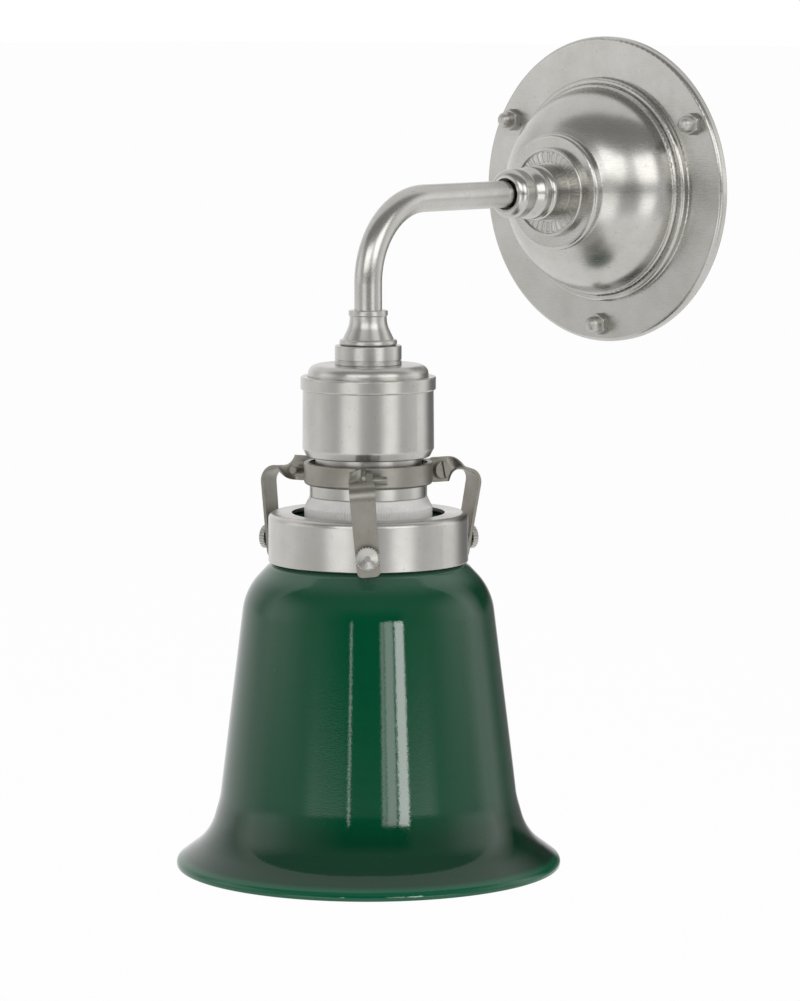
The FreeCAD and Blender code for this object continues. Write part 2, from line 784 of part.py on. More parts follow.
def neutral_terminal():
    """Pillar with a leg down through the insulator to the screw shell's roof."""
    leg = box(pillar_offset - link_width / 2, pillar_offset + link_width / 2,
              -arm_reach - link_thickness, -arm_reach + link_thickness,
              -shell_top, -insulator_top)
    return pillar(1).fuse(leg).removeSplitter()


def pillar_screws():
    screws = []
    tip = -insulator_top + pillar_size / 2 + core_radius
    top = -insulator_top + pillar_size + pillar_screw_stand
    for side in (-1, 1):
        x = side * pillar_offset
        screw = cylinder(pillar_screw_radius, top - tip, Vector(x, -arm_reach, tip), UP)
        slot = box(x - pillar_screw_radius, x + pillar_screw_radius, -arm_reach - pillar_slot / 2,
                   -arm_reach + pillar_slot / 2, top - pillar_slot, top)
        screws.append(screw.cut(slot))
    return screws


def holder_cores():
    """Two cores from the flex's end out to the pillars."""
    cores = []
    level = -insulator_top + pillar_size / 2
    for side in (-1, 1):
        near = side * (core_radius + running_gap)
        end = side * (pillar_offset - pillar_size / 2 + pillar_size * 0.8)
        cores.append(rod([Vector(near, -arm_reach, -tube_bottom - core_radius),
                          Vector(near, -arm_reach, level), Vector(end, -arm_reach, level)],
                         core_bend, core_radius - running_gap))
    return cores


# ---- clamp band, screws and straps ---------------------------------------------------------------
def ear(side):
    """An ear in a clip's frame, on the strap's +Y or -Y side; its outer end is round."""
    half = band_height / 2
    middle = -band_middle
    start = band_inner_radius + band_thickness / 4
    plate = outline([(start, middle - half), (ear_reach, middle - half, half * 0.98),
                     (ear_reach, middle + half, half * 0.98), (start, middle + half)])
    solid = Part.Face(plate).extrude(Vector(0, ear_thickness, 0))
    inside = ear_offset + side * strap_thickness / 2
    solid.translate(Vector(0, min(inside, inside + side * ear_thickness), 0))
    hole = cylinder(thread_radius + hole_gap, 4 * ear_thickness,
                    Vector(clamp_screw_radius_out, inside - 2 * ear_thickness, middle), ALONG_Y)
    return solid.cut(hole)


def band_arcs():
    """Three arcs, each from one clip's forward ear to the next clip's backward ear."""
    bottom = band_top + band_height
    ring = on_lamp_axis([(band_inner_radius, band_top), (band_outer_radius, band_top, 0.3),
                         (band_outer_radius, bottom, 1.2), (band_inner_radius, bottom)])
    half_gap = strap_thickness / 2
    gap = box(0, ear_reach, ear_offset - half_gap, ear_offset + half_gap, -bottom, -band_top)
    pieces = ring.cut([at_clip(gap, i) for i in range(clip_count)]).Solids
    arcs = []
    for i in range(clip_count):
        heading = math.radians(clip_headings[i] + 180.0 / clip_count)
        middle = Vector(band_outer_radius * math.cos(heading),
                        band_outer_radius * math.sin(heading) - arm_reach, -band_middle)
        arc = min(pieces, key=lambda piece: piece.CenterOfMass.distanceToPoint(middle))
        first = at_clip(ear(1), i)
        last = at_clip(ear(-1), (i + 1) % clip_count)
        arcs.append(arc.fuse([first, last]).removeSplitter())
    return arcs


def clamp_screws():
    """Slotted cheese-head screws through ear, strap and ear."""
    radius = clamp_screw_head_radius
    height = clamp_screw_head_height
    face = ear_offset - strap_thickness / 2 - ear_thickness
    grip = strap_thickness + 2 * ear_thickness + clamp_nut_height + clamp_screw_tail
    shank = turned([(0, 0), (thread_radius, 0), (thread_radius, screw_chamfer - grip),
                    (thread_radius - screw_chamfer, -grip), (0, -grip)])
    slot = box(-radius, radius, -slot_width / 2, slot_width / 2, height - slot_depth, height)
    screws = []
    for i, tilt in enumerate(slot_tilts):
        head = turned([(0, 0), (radius, 0), (radius, height, 0.5), (0, height)]).cut(slot)
        head.rotate(ORIGIN, UP, 90 + tilt)
        screw = head.fuse(shank).removeSplitter()
        screw.rotate(ORIGIN, ALONG_X, 90)
        screw.translate(Vector(clamp_screw_radius_out, face, -band_middle))
        screws.append(at_clip(screw, i))
    return screws


def clamp_nuts():
    nut = hexagon(clamp_nut_flats, clamp_nut_height, thread_radius)
    nut.rotate(ORIGIN, ALONG_X, -90)
    face = ear_offset + strap_thickness / 2 + ear_thickness
    nut.translate(Vector(clamp_screw_radius_out, face, -band_middle))
    return [at_clip(nut, i) for i in range(clip_count)]


def strap_section(x, y, turn):
    """The strap's rectangle across its run at x: on edge at turn 0, lying flat at turn 90."""
    half = strap_width / 2
    thin = strap_thickness / 2
    corners = [(-thin, -half), (thin, -half), (thin, half), (-thin, half)]
    angle = math.radians(turn)
    points = []
    for across, upward in corners:
        points.append(Vector(x, y + across * math.cos(angle) - upward * math.sin(angle),
                             -band_middle + across * math.sin(angle) + upward * math.cos(angle)))
    return Part.makePolygon(points + points[:1])


def strap():
    """Flat root between the ears, a short twist, a bend and a leaning leg down to the screw."""
    half = strap_width / 2
    middle = -band_middle
    thin = strap_thickness / 2
    root = Part.Face(outline([(strap_root, middle - half, strap_root_round),
                              (ear_reach, middle - half), (ear_reach, middle + half),
                              (strap_root, middle + half, strap_root_round)]))
    root = root.extrude(Vector(0, strap_thickness, 0))
    root.translate(Vector(0, ear_offset - thin, 0))
    root = root.cut(cylinder(thread_radius + hole_gap, strap_thickness * 2,
                             Vector(clamp_screw_radius_out, ear_offset - strap_thickness, middle),
                             ALONG_Y))
    turn = 90 + strap_sideways
    sections = []
    for i in range(twist_steps + 1):
        share = i / twist_steps
        ease = share * share * (3 - 2 * share)
        sections.append(strap_section(ear_reach + twist_length * share,
                                      ear_offset + (strap_offset - ear_offset) * ease, turn * ease))
    twist = Part.makeLoft(sections, True, False)
    bend_x = ear_reach + twist_length
    start = Vector(bend_x, strap_offset, middle)
    tilt = math.radians(strap_sideways)
    across = Vector(0, math.cos(tilt), math.sin(tilt))
    down = Vector(0, math.sin(tilt), -math.cos(tilt))
    flat = Part.Face(strap_section(bend_x, strap_offset, turn))
    bend = flat.revolve(start + down * strap_bend, across, 90 + strap_lean)
    drop_to_screw = (thumb_drop - band_middle) / math.cos(tilt) - strap_bend
    length = (drop_to_screw + strap_end_below_screw) / math.cos(math.radians(strap_lean))
    end_half = strap_end_width / 2
    leg = Part.Face(outline([(0, -half), (length, -end_half, end_half / 2),
                             (length, end_half, end_half / 2), (0, half)]))
    leg = leg.extrude(Vector(0, strap_thickness, 0))
    leg.rotate(ORIGIN, ALONG_X, 90)
    leg.translate(Vector(0, 0, strap_bend - thin))
    leg.rotate(ORIGIN, ALONG_Y, 90 + strap_lean)
    leg.rotate(ORIGIN, ALONG_X, strap_sideways)
    leg.translate(start + down * strap_bend)
    hole = cylinder(thread_radius + hole_gap, gallery_radius, Vector(gallery_radius, 0, -thumb_drop),
                    ALONG_X)
    return root.fuse([twist, bend, leg]).removeSplitter().cut(hole)


# ---- gallery, thumbscrews and glass --------------------------------------------------------------
def gallery_ring():
    skin = [(gallery_hole_radius, gallery_top), (gallery_radius, gallery_top, gallery_round),
            (gallery_radius, gallery_bottom, 0.4)]
    inner = gallery_radius - gallery_wall
    under = gallery_top + gallery_top_sheet
    ring = on_lamp_axis(skin + [(inner, gallery_bottom, 0.4), (inner, under, 0.8),
                                (gallery_hole_radius, under)])
    hole = cylinder(thread_radius, gallery_wall * 3, Vector(inner - gallery_wall, 0, -thumb_drop),
                    ALONG_X)
    return ring.cut([at_clip(hole, i) for i in range(clip_count)])


def thumbscrew():
    """Knurled head with a dished face, outside the strap; its tip bears on the glass neck."""
    tip = glass_neck_radius + slip_gap
    inside = thumb_head_inside
    outside = inside + thumb_head_height
    shank = thread_radius - running_gap
    body = turned([(0, tip), (shank - thumb_point, tip), (shank, tip + thumb_point),
                   (shank, inside), (thumb_head_radius, inside, 0.3),
                   (thumb_head_radius, outside, 0.3), (thumb_head_radius - thumb_rim_width, outside),
                   (thumb_hub_radius, outside - thumb_dish), (0, outside - thumb_dish)])
    groove = cylinder(knurl_depth, thumb_head_height, Vector(thumb_head_radius, 0, inside), UP)
    grooves = []
    for i in range(knurl_count):
        cut = groove.copy()
        cut.rotate(ORIGIN, UP, 360.0 / knurl_count * i)
        grooves.append(cut)
    body = body.cut(grooves)
    body.rotate(ORIGIN, ALONG_Y, 90)
    body.translate(Vector(0, 0, -thumb_drop))
    return body


def glass_shade():
    """Blown shade: a lipped neck in the gallery, a rounded shoulder and a bell mouth."""
    top = gallery_top + gallery_top_sheet + glass_lip_gap
    lip = top + glass_lip_height
    shoulder = gallery_bottom + glass_shoulder_gap
    below = [(glass_neck_radius, gallery_bottom - glass_neck_end, 1.6),
             (glass_shoulder_radius, shoulder, glass_shoulder_round),
             (glass_body_radius, glass_body_drop, glass_body_round),
             (glass_flare_radius, glass_flare_drop, glass_flare_round),
             (glass_mouth_radius, glass_mouth_drop, glass_edge_round)]
    skin = [(glass_lip_radius, top, 0.9), (glass_lip_radius, lip, 0.9),
            (glass_neck_radius, lip + 0.8, 0.6)] + below
    inside = offset_path([(glass_neck_radius, top)] + below, glass_wall)
    edge = inside[-1]
    inside[-1] = (edge[0], edge[1], glass_edge_round)
    return on_lamp_axis(skin + inside[::-1])


# ---- all the pieces ------------------------------------------------------------------------------
def pieces():
    parts = {
        "wall_plate": wall_plate(),
        "plate_studs": plate_studs(),
        "wall_rose": wall_rose(),
        "cap_nuts": cap_nuts(),
        "arm_boss": arm_boss(),
        "arm_nipple": arm_nipple(),
        "lock_washer": lock_washer(),
        "lock_nut": lock_nut(),
        "terminal_block": terminal_block(),
        "terminal_poles": terminal_poles(),
        "terminal_screws": terminal_screws(),
        "rose_cores": rose_cores(),
        "arm_tube": arm_tube(),
        "arm_flex": arm_flex(),
        "tube_ferrule": tube_ferrule(),
        "ferrule_ring": ferrule_ring(),
        "holder_cap": holder_cap(),
        "entry_nut": entry_nut(),
        "holder_body": holder_body(),
        "holder_sleeve": holder_sleeve(),
        "porcelain_ring": porcelain_ring(),
        "holder_insulator": holder_insulator(),
        "screw_shell": screw_shell(),
        "contact_barrel": contact_barrel(),
        "centre_contact": centre_contact(),
        "live_terminal": live_terminal(),
        "neutral_terminal": neutral_terminal(),
        "pillar_screws": pillar_screws(),
        "holder_cores": holder_cores(),
        "clamp_screws": clamp_screws(),
        "clamp_nuts": clamp_nuts(),
        "gallery_ring": gallery_ring(),
        "glass_shade": glass_shade(),
    }
    for name, arc in zip(("right", "back", "left"), band_arcs()):
        parts["band_arc_" + name] = arc
    for i, name in enumerate(clip_names):
        parts["strap_" + name] = at_clip(strap(), i)
        parts["thumbscrew_" + name] = at_clip(thumbscrew(), i)
    return parts


def main():
    os.makedirs("parts", exist_ok=True)
    for name, shape in pieces().items():
        if isinstance(shape, list):
            shape = Part.makeCompound(shape)
        shape.exportStep("parts/" + name + ".step")
        solids = shape.Solids
        print(name, len(solids), "solids", "valid" if shape.isValid() else "NOT VALID",
              "%.1f mm3" % sum(solid.Volume for solid in solids))


main()
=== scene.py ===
import math

import bpy
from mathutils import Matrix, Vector


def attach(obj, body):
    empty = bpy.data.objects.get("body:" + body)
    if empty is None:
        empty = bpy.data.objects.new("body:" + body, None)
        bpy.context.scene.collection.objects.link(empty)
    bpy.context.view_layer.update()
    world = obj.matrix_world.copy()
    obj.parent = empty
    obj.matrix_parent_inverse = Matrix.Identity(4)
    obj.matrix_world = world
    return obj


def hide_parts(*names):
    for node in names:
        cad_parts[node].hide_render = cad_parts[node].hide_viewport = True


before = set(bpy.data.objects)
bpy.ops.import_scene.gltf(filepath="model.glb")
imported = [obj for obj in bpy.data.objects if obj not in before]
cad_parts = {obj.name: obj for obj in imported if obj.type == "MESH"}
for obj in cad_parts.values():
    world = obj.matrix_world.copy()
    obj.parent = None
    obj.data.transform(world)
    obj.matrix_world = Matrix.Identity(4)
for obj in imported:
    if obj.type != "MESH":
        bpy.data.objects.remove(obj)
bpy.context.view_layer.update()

# Gooseneck wall sconce. Metres, the wall is y = 0, the lamp axis is vertical through LAMP.
# Turned pieces are given by corners (radius, drop) or (radius, drop, fillet) in millimetres, drop
# being the distance below the arm's axis, as in the part's source.
MM = 0.001
ARM_REACH = 127 * MM
LAMP = Vector((0, -ARM_REACH, 0))
CAMERA_PLACE = Vector((0.9991, -1.2070, 0.0673))
CAMERA_TURN = math.radians(42.35)
CAMERA_DOWN = math.radians(6.575)
CAMERA_LENS = 155.76
FLOOR_Z = -0.33
FRONT = math.degrees(CAMERA_TURN) - 90     # heading of the camera's side, from +X towards +Y


# ---- node trees ------------------------------------------------------------------------------
class Nodes:
    """Short calls for building one node tree."""

    def __init__(self, owner):
        owner.use_nodes = True
        self.tree = owner.node_tree

    def add(self, kind, sockets=None, **settings):
        made = self.tree.nodes.new("ShaderNode" + kind)
        for key, value in settings.items():
            setattr(made, key, value)
        for key, value in (sockets or {}).items():
            self.feed(value, made.inputs[key])
        return made

    def feed(self, value, socket):
        """Link value to the socket if it is a node or a socket, or else set the socket to it."""
        if isinstance(value, bpy.types.Node):
            value = next(out for out in value.outputs if out.enabled)
        if isinstance(value, bpy.types.NodeSocket):
            self.tree.links.new(value, socket)
        else:
            socket.default_value = value

    def math(self, operation, *values):
        made = self.add("Math", operation=operation)
        for value, socket in zip(values, made.inputs):
            self.feed(value, socket)
        return made.outputs[0]

    def vector(self, operation, *values):
        made = self.add("VectorMath", operation=operation)
        for value, socket in zip(values, made.inputs):
            self.feed(value, socket)
        single = operation in ("LENGTH", "DOT_PRODUCT")
        return made.outputs["Value" if single else "Vector"]

    def ramp(self, value, stops):
        """Colour that goes straight from stop to stop, each stop being (place, colour)."""
        made = self.add("ValToRGB", {"Fac": value})
        ramp = made.color_ramp
        ramp.interpolation = "LINEAR"
        while len(ramp.elements) < len(stops):
            ramp.elements.new(0.5)
        for element, (place, colour) in zip(ramp.elements, stops):
            element.position = place
            element.color = (*colour, 1)
        return made.outputs["Color"]

    def step(self, value, low, high, first=0.0, last=1.0):
        """From first to last while value goes from low to high."""
        made = self.add("MapRange", {"Value": value, "From Min": low, "From Max": high,
                                     "To Min": first, "To Max": last},
                        interpolation_type="SMOOTHSTEP")
        return made.outputs[0]

    def mix(self, share, first, second, blend="MIX"):
        made = self.add("Mix", data_type="RGBA", blend_type=blend)
        self.feed(share, made.inputs[0])
        for value, socket in ((first, made.inputs[6]), (second, made.inputs[7])):
            if isinstance(value, tuple) and len(value) == 3:
                value = (*value, 1)
            self.feed(value, socket)
        return made.outputs[2]


def grey(level):
    return (level, level, level)


def seen_share(nodes):
    """1 for what the camera, a reflection or a look through glass shows, 0 for matt light."""
    path = nodes.add("LightPath")
    seen = nodes.math("MAXIMUM", path.outputs["Is Camera Ray"], path.outputs["Is Transmission Ray"])
    return nodes.math("MAXIMUM", seen, path.outputs["Is Glossy Ray"])


# ---- camera, stage and light -----------------------------------------------------------------
def make_camera():
    data = bpy.data.cameras.new("camera")
    data.lens = CAMERA_LENS
    data.sensor_width = 36
    data.clip_start = 0.01
    camera = bpy.data.objects.new("camera", data)
    camera.location = CAMERA_PLACE
    camera.rotation_euler = (math.pi / 2 - CAMERA_DOWN, 0, CAMERA_TURN)
    bpy.context.collection.objects.link(camera)
    bpy.context.scene.camera = camera


WORLD_WHITE = 1.0
WORLD_LIGHT = 0.55    # light of the world on matt surfaces


def make_world():
    """White where the world is seen, with a softer grey light for matt surfaces."""
    world = bpy.data.worlds.new("studio")
    bpy.context.scene.world = world
    nodes = Nodes(world)
    background = nodes.tree.nodes["Background"]
    colour = nodes.mix(seen_share(nodes), grey(WORLD_LIGHT), grey(WORLD_WHITE))
    nodes.feed(colour, background.inputs["Color"])
    background.inputs["Strength"].default_value = 1.0


# Brightness of the studio's cards at each heading from the camera's side, in degrees. Upright
# metal and the edges of the glass show the lower row, the rest of the glass the upper row.
LOW_CARDS = (
    (-180, 1.0), (-120, 0.95), (-96, 0.8), (-84, 0.6), (-70, 0.55), (-52, 0.6), (-43, 1.7),
    (-20, 1.75), (-12, 0.6), (-2, 0.52), (22, 0.55), (32, 1.9), (48, 1.9), (57, 0.6),
    (90, 0.65), (104, 1.1), (117, 0.9), (127, 0.4), (134, 0.22), (160, 0.22), (171, 0.8),
    (180, 1.0),
)
HIGH_CARDS = (
    (-180, 1.0), (-150, 1.0), (-133, 0.9), (-116, 0.6), (-98, 1.25), (-78, 1.05), (-58, 0.5),
    (-47, 0.37), (-34, 0.2), (-27, 0.12), (-18, 0.03), (28, 0.03), (36, 0.25), (48, 0.28),
    (61, 0.42), (78, 0.9), (90, 1.1), (109, 1.35), (122, 0.5), (131, 0.05), (166, 0.06),
    (174, 1.0), (180, 1.0),
)
CARDS_RADIUS = 1.72
CARDS_FOOT = 0.75             # radius where the floor stops and the cards start
CARDS_RISE = 0.01             # gap between the floor and the cards' foot
CARDS_SPLIT = (-0.22, 0.03)   # between these heights the lower row turns into the upper row
CARDS_TOP = (0.3, 1.5)        # between these heights the upper row fades to the grey ceiling
CARDS_PEAK = (0.02, 1.1 * CARDS_TOP[1])     # radius and height where the ceiling closes
CARDS_STEPS = 96
CEILING = (0.27, 0.87)        # its grey in front of the lamp and behind it
CEILING_TURN = 0.26           # how far the line between the two bends back on both sides
CEILING_EDGE = (-0.15, -0.09)


def cards_colour(nodes):
    """Grey of the cards by heading and height, seen from the lamp."""
    place = nodes.vector("SUBTRACT", nodes.add("TexCoord").outputs["Object"], tuple(LAMP))
    parts = nodes.add("SeparateXYZ", {0: place})
    heading = nodes.math("ARCTAN2", parts.outputs[1], parts.outputs[0])
    turns = nodes.math("DIVIDE", heading, 2 * math.pi)
    turns = nodes.math("FRACT", nodes.math("SUBTRACT", turns, FRONT / 360 - 0.5))
    rows = []
    for cards_row in (LOW_CARDS, HIGH_CARDS):
        stops = [((angle + 180) / 360, grey(level)) for angle, level in cards_row]
        rows.append(nodes.ramp(turns, stops))
    height = parts.outputs[2]
    colour = nodes.mix(nodes.step(height, *CARDS_SPLIT), *rows)
    aside = nodes.add("CombineXYZ", {0: parts.outputs[0], 1: parts.outputs[1]})
    ahead = math.radians(FRONT)
    split = nodes.vector("DOT_PRODUCT", aside, (-math.cos(ahead), -math.sin(ahead), 0.0))
    reach = nodes.math("MULTIPLY", nodes.vector("LENGTH", aside), CEILING_TURN)
    behind = nodes.step(nodes.math("SUBTRACT", split, reach), *CEILING_EDGE)
    ceiling = nodes.mix(behind, *[grey(level) for level in CEILING])
    return nodes.mix(nodes.step(height, *CARDS_TOP), colour, ceiling)


def make_cards():
    """Grey cards round the lamp, which only reflections see, give bright metal its bands."""
    profile = [(CARDS_FOOT, FLOOR_Z + CARDS_RISE), (CARDS_RADIUS, FLOOR_Z + 2 * CARDS_RISE),
               (CARDS_RADIUS, CARDS_TOP[1]), CARDS_PEAK]
    points = []
    for radius, z in profile:
        for i in range(CARDS_STEPS):
            turn = 2 * math.pi * i / CARDS_STEPS
            points.append(LAMP + Vector((radius * math.cos(turn), radius * math.sin(turn), z)))
    faces = []
    for row in range(len(profile) - 1):
        here = row * CARDS_STEPS
        above = here + CARDS_STEPS
        for i in range(CARDS_STEPS):
            j = (i + 1) % CARDS_STEPS
            faces.append((here + i, here + j, above + j, above + i))
    mesh = bpy.data.meshes.new("studio_cards")
    mesh.from_pydata(points, [], faces)
    cards = bpy.data.objects.new("studio_cards", mesh)
    bpy.context.collection.objects.link(cards)
    for kind in ("camera", "diffuse", "transmission", "volume_scatter", "shadow"):
        setattr(cards, "visible_" + kind, False)
    made = bpy.data.materials.new("studio_cards")
    made.cycles.emission_sampling = "NONE"
    nodes = Nodes(made)
    lit = nodes.add("Emission", {"Color": cards_colour(nodes)})
    nodes.tree.links.new(lit.outputs[0], nodes.tree.nodes["Material Output"].inputs["Surface"])
    mesh.materials.append(made)


# Lamps: name, then heading and elevation as seen from the lit middle, width and height, all in
# degrees, and brightness, of which 1 is plain white.
SOFT_LAMPS = (
    ("soft_left", -22, 26, 38, 26, 2.0),
    ("soft_middle", 11, 26, 25, 26, 0.9),
    ("soft_right", 41, 26, 34, 28, 2.0),
)
FILL_LAMPS = (
    ("fill_right", 60, 30, 44, 44, 0.9),
    ("fill_left", -60, 20, 40, 40, 0.8),
    ("fill_top", 0, 75, 40, 40, 0.7),
)
STRIP_LAMPS = (
    ("strip_outer", 27.5, 4, 8.0, 17, 8.5),
    ("strip_middle", 18.2, 4, 7.4, 17, 3.8),
    ("strip_inner", 12.3, 4, 3.0, 17, 2.6),
    ("strip_left", -14.6, 4, 1.4, 17, 4.5),
)
LIT_MIDDLE = LAMP + Vector((0, 0, -0.12))
SOFT_DISTANCE = 1.55
FILL_DISTANCE = 1.5
STRIP_DISTANCE = 1.6


def lamp_panel(lamp, distance):
    """A panel that faces the lit middle from this distance."""
    name, heading, elevation, width, height, brightness = lamp
    turn = math.radians(FRONT + heading)
    up = math.radians(elevation)
    away = Vector((math.cos(turn) * math.cos(up), math.sin(turn) * math.cos(up), math.sin(up)))
    data = bpy.data.lights.new(name, "AREA")
    data.shape = "RECTANGLE"
    data.size = 2 * distance * math.tan(math.radians(width / 2))
    data.size_y = 2 * distance * math.tan(math.radians(height / 2))
    data.energy = brightness * math.pi * data.size * data.size_y
    panel = bpy.data.objects.new(name, data)
    panel.location = LIT_MIDDLE + away * distance
    panel.rotation_euler = away.to_track_quat("Z", "Y").to_euler()
    panel.visible_camera = False
    bpy.context.collection.objects.link(panel)
    return panel


def make_lights(glass):
    """Soft lamps flagged off the glass, fills that no reflection shows, strips for its gloss."""
    flagged_off = bpy.data.collections.new("all_but_glass")
    flagged_off.objects.link(glass)
    flagged_off.collection_objects[0].light_linking.link_state = "EXCLUDE"
    for lamp in SOFT_LAMPS:
        panel = lamp_panel(lamp, SOFT_DISTANCE)
        panel.light_linking.receiver_collection = flagged_off
    for lamp in FILL_LAMPS:
        panel = lamp_panel(lamp, FILL_DISTANCE)
        panel.visible_glossy = False
    only_glass = bpy.data.collections.new("flagged_lamps")
    only_glass.objects.link(glass)
    for lamp in STRIP_LAMPS:
        panel = lamp_panel(lamp, STRIP_DISTANCE)
        panel.visible_diffuse = False
        panel.light_linking.receiver_collection = only_glass


FLOOR_SIZE = 60
FLOOR_GREY = 0.86
FLOOR_WHITE = 0.96    # share of plain white that is seen in the floor, the rest is its own shading


def make_floor():
    bpy.ops.mesh.primitive_plane_add(size=FLOOR_SIZE, location=(0, 0, FLOOR_Z))
    floor = bpy.context.object
    floor.name = "floor"
    made = bpy.data.materials.new("pale_floor")
    nodes = Nodes(made)
    shader = nodes.tree.nodes["Principled BSDF"]
    shader.inputs["Base Color"].default_value = (*grey(FLOOR_GREY), 1)
    shader.inputs["Roughness"].default_value = 0.7
    lit = nodes.add("Emission", {"Color": (1, 1, 1, 1), "Strength": 1.0})
    both = nodes.add("MixShader", {0: nodes.math("MULTIPLY", seen_share(nodes), FLOOR_WHITE),
                                   1: shader.outputs[0], 2: lit.outputs[0]})
    nodes.tree.links.new(both.outputs[0], nodes.tree.nodes["Material Output"].inputs["Surface"])
    floor.data.materials.append(made)


# ---- turned pieces ---------------------------------------------------------------------------
FLAT_CORNER = math.radians(89.5)    # half the angle at a corner that is too flat to be rounded
SHARP_EDGE = math.radians(32)


def rounded(corners, bend=6.0):
    """Points along a closed line of (radius, drop, fillet) corners, bend degrees apart on arcs."""
    points = []
    for i, corner in enumerate(corners):
        here = Vector(corner[:2])
        fillet = corner[2] if len(corner) > 2 else 0.0
        back = (Vector(corners[i - 1][:2]) - here).normalized()
        ahead = (Vector(corners[(i + 1) % len(corners)][:2]) - here).normalized()
        half = back.angle(ahead) / 2
        if fillet <= 0 or half > FLAT_CORNER:
            points.append(here)
            continue
        centre = here + (back + ahead).normalized() * fillet / math.sin(half)
        start = here + back * fillet / math.tan(half) - centre
        end = here + ahead * fillet / math.tan(half) - centre
        sweep = start.angle(end)
        steps = max(2, math.ceil(math.degrees(sweep) / bend))
        for k in range(steps + 1):
            share = k / steps
            arm = (start * math.sin((1 - share) * sweep) + end * math.sin(share * sweep))
            points.append(centre + arm / math.sin(sweep))
    return points


def lathe(name, profile, steps, material, node, ripple=None):
    """A closed (radius, drop) line turned about the lamp axis, in place of a node."""
    points = []
    for k in range(steps):
        turn = 2 * math.pi * k / steps
        for radius, drop in profile:
            wide = (radius + (ripple(turn, radius, drop) if ripple else 0)) * MM
            points.append(LAMP + Vector((wide * math.cos(turn), wide * math.sin(turn), -drop * MM)))
    rows = len(profile)
    faces = []
    for k in range(steps):
        after = (k + 1) % steps
        for i in range(rows):
            j = (i + 1) % rows
            faces.append((k * rows + i, k * rows + j, after * rows + j, after * rows + i))
    mesh = bpy.data.meshes.new(name)
    mesh.from_pydata(points, [], faces)
    mesh.update()
    mesh.shade_smooth()
    mesh.set_sharp_from_angle(angle=SHARP_EDGE)
    mesh.materials.append(material)
    piece = bpy.data.objects.new(name, mesh)
    bpy.context.collection.objects.link(piece)
    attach(piece, "root")
    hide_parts(node)
    return piece


# ---- materials --------------------------------------------------------------------------------
FINE = 0.02 * MM    # depth of tool marks, of ripples in the glaze and of drawing lines in the glass


def plain(nodes):
    return nodes.add("TexCoord").outputs["Object"]


def about_axis(nodes, place, side, along):
    """Coordinates that turn with an axis: distance from it, and place along it."""
    parts = nodes.add("SeparateXYZ", {0: place})
    flat = nodes.add("CombineXYZ", {0: parts.outputs[0], 1: parts.outputs[side]})
    made = nodes.add("CombineXYZ", {0: nodes.vector("LENGTH", flat), 2: parts.outputs[along]})
    return made.outputs[0]


def round_lamp(nodes):
    """Coordinates that turn with the lamp axis: distance from it, and height."""
    return about_axis(nodes, nodes.vector("SUBTRACT", plain(nodes), tuple(LAMP)), side=1, along=2)


def round_wall(nodes):
    """Coordinates that turn with the wall axis: distance from it, and depth."""
    return about_axis(nodes, plain(nodes), side=2, along=1)


def noise(nodes, place, scale, detail=2.0, rough=0.5, stretch=None):
    if stretch:
        place = nodes.vector("MULTIPLY", place, stretch)
    made = nodes.add("TexNoise", {"Vector": place, "Scale": scale, "Detail": detail,
                                  "Roughness": rough})
    return made.outputs["Fac"]


def reeding(nodes, count, inner, outer):
    """Height of plain radial ribs on the wall axis between two radii."""
    parts = nodes.add("SeparateXYZ", {0: plain(nodes)})
    angle = nodes.math("ARCTAN2", parts.outputs[0], parts.outputs[2])
    wave = nodes.math("COSINE", nodes.math("MULTIPLY", angle, count))
    rib = nodes.step(wave, low=-0.2, high=0.6)
    flat = nodes.add("CombineXYZ", {0: parts.outputs[0], 1: parts.outputs[2]})
    radius = nodes.vector("LENGTH", flat)
    soft = 0.2 * MM
    inside = nodes.step(radius, inner, inner + soft)
    return nodes.math("MULTIPLY", nodes.math("MULTIPLY", rib, inside),
                      nodes.step(radius, outer - soft, outer, 1.0, 0.0))


